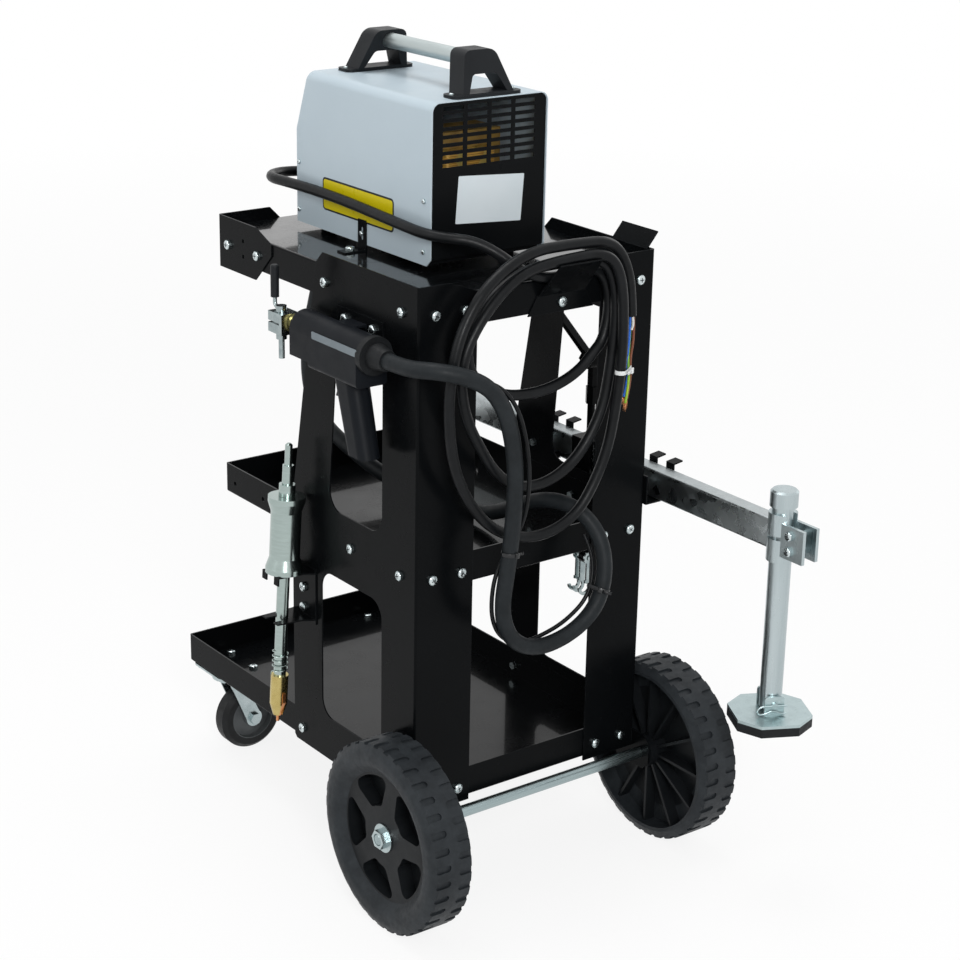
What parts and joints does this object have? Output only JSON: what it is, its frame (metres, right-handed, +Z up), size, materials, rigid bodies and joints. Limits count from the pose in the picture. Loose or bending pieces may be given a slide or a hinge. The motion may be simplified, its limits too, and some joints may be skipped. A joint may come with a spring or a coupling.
{
  "type": "dent pulling welder",
  "caption": "Spot welder for pulling car body dents, on a sheet-metal trolley with trays, welding gun, slide hammer, pull beam with a support leg and hanging cables.",
  "frame": {"origin": "on the floor, in the trolley's mid-plane, under the outer face of its rear leg flanges", "axes": "+Z up; +X towards the side that carries the gun and the slide hammer; +Y to the rear, where the cable hook is"},
  "size_m": [0.5274, 0.8639, 1.087],
  "materials": {
    "black_coat": "fine textured powder coat",
    "zinc_steel": "bright zinc plating",
    "bright_steel": "turned steel",
    "case_coat": "silver grey satin paint",
    "case_front": "fine grained plastic",
    "black_plastic": "moulded, slightly satin",
    "tyre_rubber": "matt rubber",
    "caster_plastic": "grey moulded wheel with a dark tread",
    "knob_plastic": "satin",
    "trigger_plastic": "satin",
    "soft_rubber": "matt rubber",
    "core_steel": "stacked sheet steel",
    "copper_wire": "bare copper",
    "board_plastic": "green board",
    "yellow_brass": "turned brass",
    "cord_rubber": "smooth rubber sheath"
  },
  "bodies": {
    "trolley": {"beam_cradles": "black_coat", "bottom_tray": "black_coat", "cable_glands": "black_plastic", "cable_hook": "black_coat", "caster_plates": "zinc_steel", "control_board": "board_plastic", "corner_guards": "black_coat", "fasteners": "zinc_steel", "front_panel": "case_front", "gun_cable": "cord_rubber", "gun_clamp": "bright_steel", "gun_collar": "yellow_brass", "gun_hanger": "black_coat", "gun_housing": "black_plastic", "gun_rear_bush": "soft_rubber", "hammer_bracket": "black_coat", "hammer_weight": "bright_steel", "handle_supports": "black_plastic", "handle_tube": "bright_steel", "leg_collar": "zinc_steel", "machine_base": "case_coat", "machine_cover": "case_coat", "machine_screws": "zinc_steel", "machine_strap": "black_coat", "mains_cable": "cord_rubber", "mains_coil": "cord_rubber", "middle_tray": "black_coat", "pull_beam": "zinc_steel", "rear_axle": "zinc_steel", "rear_panel": "black_coat", "side_panel_beam_side": "black_coat", "side_panel_gun_side": "black_coat", "top_tray": "black_coat", "transformer_core": "core_steel", "transformer_windings": "copper_wire"},
    "wheel_gun_side": {"wheel_rim_gun_side": "black_plastic", "tyre_gun_side": "tyre_rubber"},
    "wheel_beam_side": {"wheel_rim_beam_side": "black_plastic", "tyre_beam_side": "tyre_rubber"},
    "caster_gun_side": {"caster_fork_gun_side": "zinc_steel"},
    "caster_beam_side": {"caster_fork_beam_side": "zinc_steel"},
    "caster_roller_gun_side": {"caster_wheel_gun_side": "caster_plastic"},
    "caster_roller_beam_side": {"caster_wheel_beam_side": "caster_plastic"},
    "power_knob": {"power_switch": "knob_plastic"},
    "setting_dial": {"setting_knob": "knob_plastic"},
    "trigger": {"gun_trigger": "trigger_plastic"},
    "clamp_handle": {"clamp_lever": "bright_steel", "lever_grip": "black_plastic"},
    "hammer": {"hammer_rod": "bright_steel", "stop_collar": "bright_steel", "hammer_spring": "bright_steel", "electrode_holder": "yellow_brass", "copper_tip": "copper_wire"},
    "leg": {"support_leg": "zinc_steel"},
    "foot": {"foot_plate": "zinc_steel", "foot_pad": "soft_rubber", "foot_pin": "zinc_steel"},
    "carriage": {"puller_carriage": "black_coat"},
    "pull_handle": {"puller_lever": "black_coat"},
    "claw": {"hook_claw": "bright_steel"}
  },
  "joints": [
    {"name": "wheel_spin_gun_side", "type": "hinge", "parent": "trolley", "child": "wheel_gun_side", "pos_m": [0.222, 0.016, 0.127], "axis": [1, 0, 0], "continuous": true},
    {"name": "wheel_spin_beam_side", "type": "hinge", "parent": "trolley", "child": "wheel_beam_side", "pos_m": [-0.222, 0.016, 0.127], "axis": [1, 0, 0], "continuous": true},
    {"name": "caster_swivel_gun_side", "type": "hinge", "parent": "trolley", "child": "caster_gun_side", "pos_m": [0.148, -0.532, 0.1], "axis": [0, 0, 1], "continuous": true},
    {"name": "caster_swivel_beam_side", "type": "hinge", "parent": "trolley", "child": "caster_beam_side", "pos_m": [-0.148, -0.532, 0.1], "axis": [0, 0, 1], "continuous": true},
    {"name": "caster_roll_gun_side", "type": "hinge", "parent": "caster_gun_side", "child": "caster_roller_gun_side", "pos_m": [0.115, -0.532, 0.05], "axis": [0, 1, 0], "continuous": true},
    {"name": "caster_roll_beam_side", "type": "hinge", "parent": "caster_beam_side", "child": "caster_roller_beam_side", "pos_m": [-0.115, -0.532, 0.05], "axis": [0, 1, 0], "continuous": true},
    {"name": "power_turn", "type": "hinge", "parent": "trolley", "child": "power_knob", "pos_m": [0.054, -0.4015, 0.928], "axis": [0, -1, 0], "range_deg": [0, 90]},
    {"name": "setting_turn", "type": "hinge", "parent": "trolley", "child": "setting_dial", "pos_m": [-0.034, -0.4015, 0.928], "axis": [0, -1, 0], "range_deg": [0, 270]},
    {"name": "trigger_press", "type": "slide", "parent": "trolley", "child": "trigger", "axis": [0, 1, 0], "range_m": [0, 0.004], "stiffness_N_per_m": 400},
    {"name": "clamp_turn", "type": "hinge", "parent": "trolley", "child": "clamp_handle", "pos_m": [0.229, -0.238, 0.745], "axis": [0, 0, 1], "range_deg": [-90, 90]},
    {"name": "hammer_stroke", "type": "slide", "parent": "trolley", "child": "hammer", "axis": [-0.0576, 0, 0.9983], "range_m": [0, 0.035]},
    {"name": "leg_height", "type": "slide", "parent": "trolley", "child": "leg", "axis": [0, 0, 1], "range_m": [0, 0.12]},
    {"name": "foot_tilt", "type": "hinge", "parent": "leg", "child": "foot", "pos_m": [-0.2185, 0.227, 0.28], "axis": [0.454, 0.891, 0], "range_deg": [-20, 20]},
    {"name": "carriage_travel", "type": "slide", "parent": "trolley", "child": "carriage", "axis": [0, 1, 0], "range_m": [-0.025, 0.075]},
    {"name": "handle_swing", "type": "hinge", "parent": "carriage", "child": "pull_handle", "pos_m": [-0.2185, -0.155, 0.6403], "axis": [1, 0, 0], "range_deg": [-57, 25]},
    {"name": "claw_swing", "type": "hinge", "parent": "carriage", "child": "claw", "pos_m": [-0.2185, -0.155, 0.3537], "axis": [0, 1, 0], "range_deg": [-20, 20]}
  ]
}
